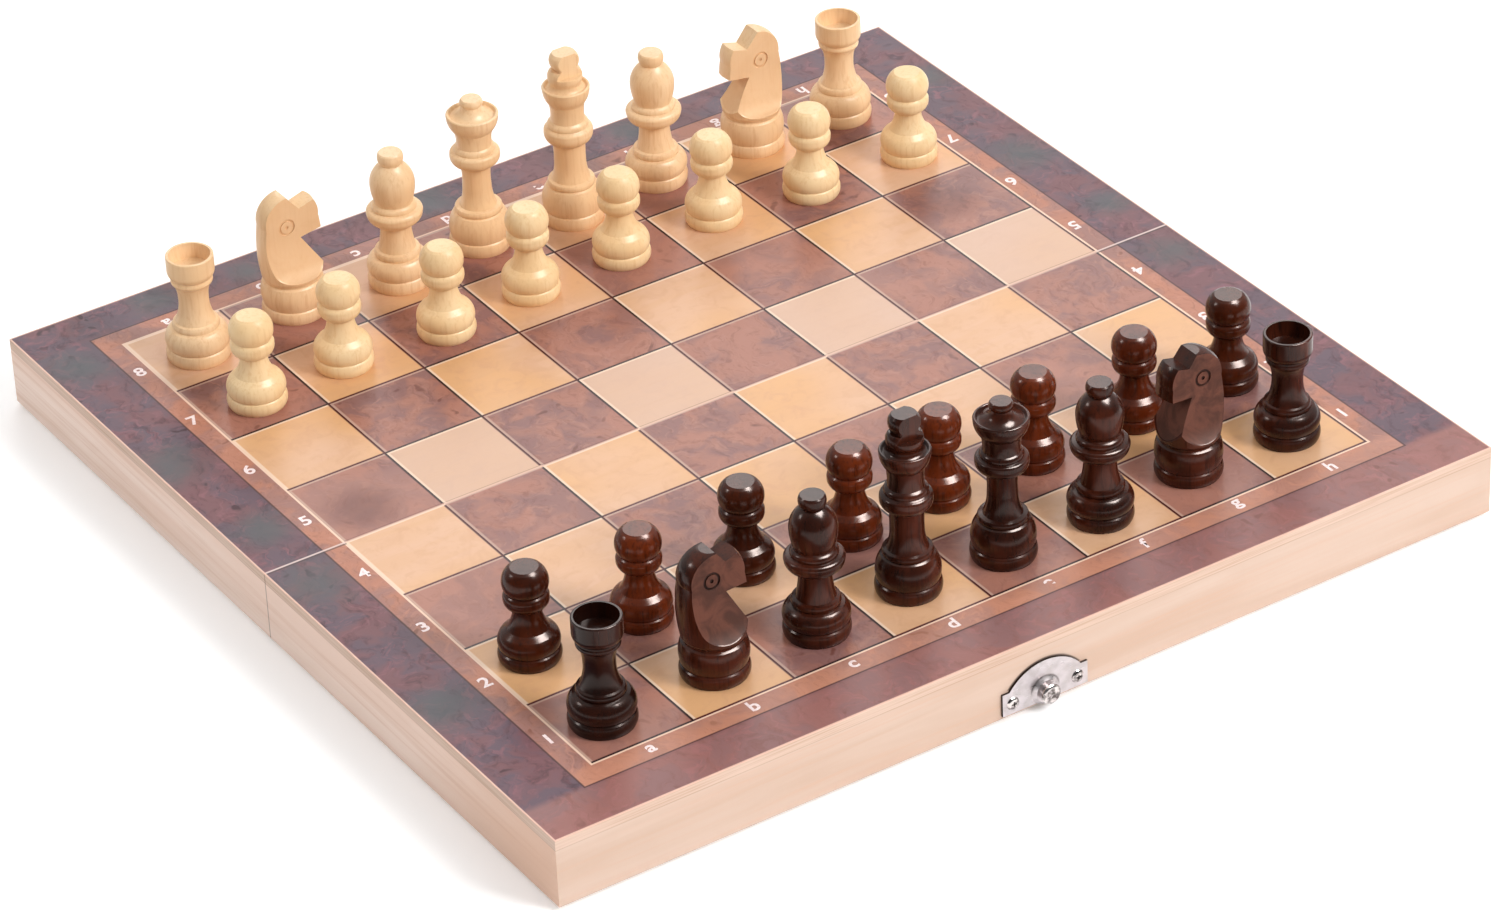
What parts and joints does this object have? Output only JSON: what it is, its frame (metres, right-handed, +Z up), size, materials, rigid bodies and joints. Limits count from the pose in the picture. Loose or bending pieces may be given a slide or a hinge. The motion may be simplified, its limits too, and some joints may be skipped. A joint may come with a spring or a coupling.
{
  "type": "folding chess board",
  "caption": "Folding wooden chess box lying open as a board: two hinged trays with a printed playing surface, a stud and hasp latch, and turned men standing on their squares.",
  "frame": {"origin": "on the table, under the middle of the fold", "axes": "+X along the fold from file a to file h, +Z up, -Y towards the latch stud and the dark men"},
  "size_m": [0.34, 0.3432, 0.0873],
  "materials": {
    "frame_wood": "clear satin lacquer",
    "panel_board": "raw board edge",
    "light_print": "printed maple grain under lacquer",
    "dark_print": "printed burl under lacquer",
    "border_print": "printed burl under lacquer",
    "hinge_metal": "nickel plated",
    "latch_metal": "nickel plated",
    "light_men": "gloss lacquer",
    "dark_men": "stained, gloss lacquer"
  },
  "bodies": {
    "front_half": {"front_panel": "panel_board", "front_outer_wall": "frame_wood", "front_left_wall": "frame_wood", "front_right_wall": "frame_wood", "front_middle_wall": "frame_wood", "front_light_squares": "light_print", "front_dark_squares": "dark_print", "front_border": "border_print", "hinge_leaves_front": "hinge_metal", "hinge_pins": "hinge_metal", "hinge_screws_front": "hinge_metal", "catch_plate": "latch_metal", "catch_stud": "latch_metal", "catch_screws": "latch_metal"},
    "back_half": {"back_panel": "panel_board", "back_outer_wall": "frame_wood", "back_left_wall": "frame_wood", "back_right_wall": "frame_wood", "back_middle_wall": "frame_wood", "back_light_squares": "light_print", "back_dark_squares": "dark_print", "back_border": "border_print", "hinge_leaves_back": "hinge_metal", "hinge_screws_back": "hinge_metal", "hasp_plate": "latch_metal", "hasp_pin": "latch_metal", "hasp_screws": "latch_metal"},
    "hasp_tongue": {"hasp_tongue": "latch_metal"},
    "light_rook_a8": {"light_rook_a8": "light_men"},
    "light_knight_b8": {"light_knight_b8": "light_men"},
    "light_bishop_c8": {"light_bishop_c8": "light_men"},
    "light_queen_d8": {"light_queen_d8": "light_men"},
    "light_king_e8": {"light_king_e8": "light_men"},
    "light_bishop_f8": {"light_bishop_f8": "light_men"},
    "light_knight_g8": {"light_knight_g8": "light_men"},
    "light_rook_h8": {"light_rook_h8": "light_men"},
    "light_pawn_a7": {"light_pawn_a7": "light_men"},
    "light_pawn_b7": {"light_pawn_b7": "light_men"},
    "light_pawn_c7": {"light_pawn_c7": "light_men"},
    "light_pawn_d7": {"light_pawn_d7": "light_men"},
    "light_pawn_e7": {"light_pawn_e7": "light_men"},
    "light_pawn_f7": {"light_pawn_f7": "light_men"},
    "light_pawn_g7": {"light_pawn_g7": "light_men"},
    "light_pawn_h7": {"light_pawn_h7": "light_men"},
    "dark_pawn_a2": {"dark_pawn_a2": "dark_men"},
    "dark_pawn_b2": {"dark_pawn_b2": "dark_men"},
    "dark_pawn_c2": {"dark_pawn_c2": "dark_men"},
    "dark_pawn_d2": {"dark_pawn_d2": "dark_men"},
    "dark_pawn_e2": {"dark_pawn_e2": "dark_men"},
    "dark_pawn_f2": {"dark_pawn_f2": "dark_men"},
    "dark_pawn_g2": {"dark_pawn_g2": "dark_men"},
    "dark_pawn_h2": {"dark_pawn_h2": "dark_men"},
    "dark_rook_a1": {"dark_rook_a1": "dark_men"},
    "dark_knight_b1": {"dark_knight_b1": "dark_men"},
    "dark_bishop_c1": {"dark_bishop_c1": "dark_men"},
    "dark_king_d1": {"dark_king_d1": "dark_men"},
    "dark_queen_e1": {"dark_queen_e1": "dark_men"},
    "dark_bishop_f1": {"dark_bishop_f1": "dark_men"},
    "dark_knight_g1": {"dark_knight_g1": "dark_men"},
    "dark_rook_h1": {"dark_rook_h1": "dark_men"}
  },
  "joints": [
    {"name": "board_fold", "type": "hinge", "parent": "front_half", "child": "back_half", "pos_m": [0, 0, 0.0012], "axis": [-1, 0, 0], "range_deg": [0, 180]},
    {"name": "hasp_swing", "type": "hinge", "parent": "back_half", "child": "hasp_tongue", "pos_m": [0, 0.17, 0.003], "axis": [-1, 0, 0], "range_deg": [0, 180]},
    {"name": "lift_a8", "type": "slide", "parent": "back_half", "child": "light_rook_a8", "axis": [0, 0, 1], "range_m": [0, 0.08]},
    {"name": "lift_b8", "type": "slide", "parent": "back_half", "child": "light_knight_b8", "axis": [0, 0, 1], "range_m": [0, 0.08]},
    {"name": "lift_c8", "type": "slide", "parent": "back_half", "child": "light_bishop_c8", "axis": [0, 0, 1], "range_m": [0, 0.08]},
    {"name": "lift_d8", "type": "slide", "parent": "back_half", "child": "light_queen_d8", "axis": [0, 0, 1], "range_m": [0, 0.08]},
    {"name": "lift_e8", "type": "slide", "parent": "back_half", "child": "light_king_e8", "axis": [0, 0, 1], "range_m": [0, 0.08]},
    {"name": "lift_f8", "type": "slide", "parent": "back_half", "child": "light_bishop_f8", "axis": [0, 0, 1], "range_m": [0, 0.08]},
    {"name": "lift_g8", "type": "slide", "parent": "back_half", "child": "light_knight_g8", "axis": [0, 0, 1], "range_m": [0, 0.08]},
    {"name": "lift_h8", "type": "slide", "parent": "back_half", "child": "light_rook_h8", "axis": [0, 0, 1], "range_m": [0, 0.08]},
    {"name": "lift_a7", "type": "slide", "parent": "back_half", "child": "light_pawn_a7", "axis": [0, 0, 1], "range_m": [0, 0.08]},
    {"name": "lift_b7", "type": "slide", "parent": "back_half", "child": "light_pawn_b7", "axis": [0, 0, 1], "range_m": [0, 0.08]},
    {"name": "lift_c7", "type": "slide", "parent": "back_half", "child": "light_pawn_c7", "axis": [0, 0, 1], "range_m": [0, 0.08]},
    {"name": "lift_d7", "type": "slide", "parent": "back_half", "child": "light_pawn_d7", "axis": [0, 0, 1], "range_m": [0, 0.08]},
    {"name": "lift_e7", "type": "slide", "parent": "back_half", "child": "light_pawn_e7", "axis": [0, 0, 1], "range_m": [0, 0.08]},
    {"name": "lift_f7", "type": "slide", "parent": "back_half", "child": "light_pawn_f7", "axis": [0, 0, 1], "range_m": [0, 0.08]},
    {"name": "lift_g7", "type": "slide", "parent": "back_half", "child": "light_pawn_g7", "axis": [0, 0, 1], "range_m": [0, 0.08]},
    {"name": "lift_h7", "type": "slide", "parent": "back_half", "child": "light_pawn_h7", "axis": [0, 0, 1], "range_m": [0, 0.08]},
    {"name": "lift_a2", "type": "slide", "parent": "front_half", "child": "dark_pawn_a2", "axis": [0, 0, 1], "range_m": [0, 0.08]},
    {"name": "lift_b2", "type": "slide", "parent": "front_half", "child": "dark_pawn_b2", "axis": [0, 0, 1], "range_m": [0, 0.08]},
    {"name": "lift_c2", "type": "slide", "parent": "front_half", "child": "dark_pawn_c2", "axis": [0, 0, 1], "range_m": [0, 0.08]},
    {"name": "lift_d2", "type": "slide", "parent": "front_half", "child": "dark_pawn_d2", "axis": [0, 0, 1], "range_m": [0, 0.08]},
    {"name": "lift_e2", "type": "slide", "parent": "front_half", "child": "dark_pawn_e2", "axis": [0, 0, 1], "range_m": [0, 0.08]},
    {"name": "lift_f2", "type": "slide", "parent": "front_half", "child": "dark_pawn_f2", "axis": [0, 0, 1], "range_m": [0, 0.08]},
    {"name": "lift_g2", "type": "slide", "parent": "front_half", "child": "dark_pawn_g2", "axis": [0, 0, 1], "range_m": [0, 0.08]},
    {"name": "lift_h2", "type": "slide", "parent": "front_half", "child": "dark_pawn_h2", "axis": [0, 0, 1], "range_m": [0, 0.08]},
    {"name": "lift_a1", "type": "slide", "parent": "front_half", "child": "dark_rook_a1", "axis": [0, 0, 1], "range_m": [0, 0.08]},
    {"name": "lift_b1", "type": "slide", "parent": "front_half", "child": "dark_knight_b1", "axis": [0, 0, 1], "range_m": [0, 0.08]},
    {"name": "lift_c1", "type": "slide", "parent": "front_half", "child": "dark_bishop_c1", "axis": [0, 0, 1], "range_m": [0, 0.08]},
    {"name": "lift_d1", "type": "slide", "parent": "front_half", "child": "dark_king_d1", "axis": [0, 0, 1], "range_m": [0, 0.08]},
    {"name": "lift_e1", "type": "slide", "parent": "front_half", "child": "dark_queen_e1", "axis": [0, 0, 1], "range_m": [0, 0.08]},
    {"name": "lift_f1", "type": "slide", "parent": "front_half", "child": "dark_bishop_f1", "axis": [0, 0, 1], "range_m": [0, 0.08]},
    {"name": "lift_g1", "type": "slide", "parent": "front_half", "child": "dark_knight_g1", "axis": [0, 0, 1], "range_m": [0, 0.08]},
    {"name": "lift_h1", "type": "slide", "parent": "front_half", "child": "dark_rook_h1", "axis": [0, 0, 1], "range_m": [0, 0.08]}
  ]
}
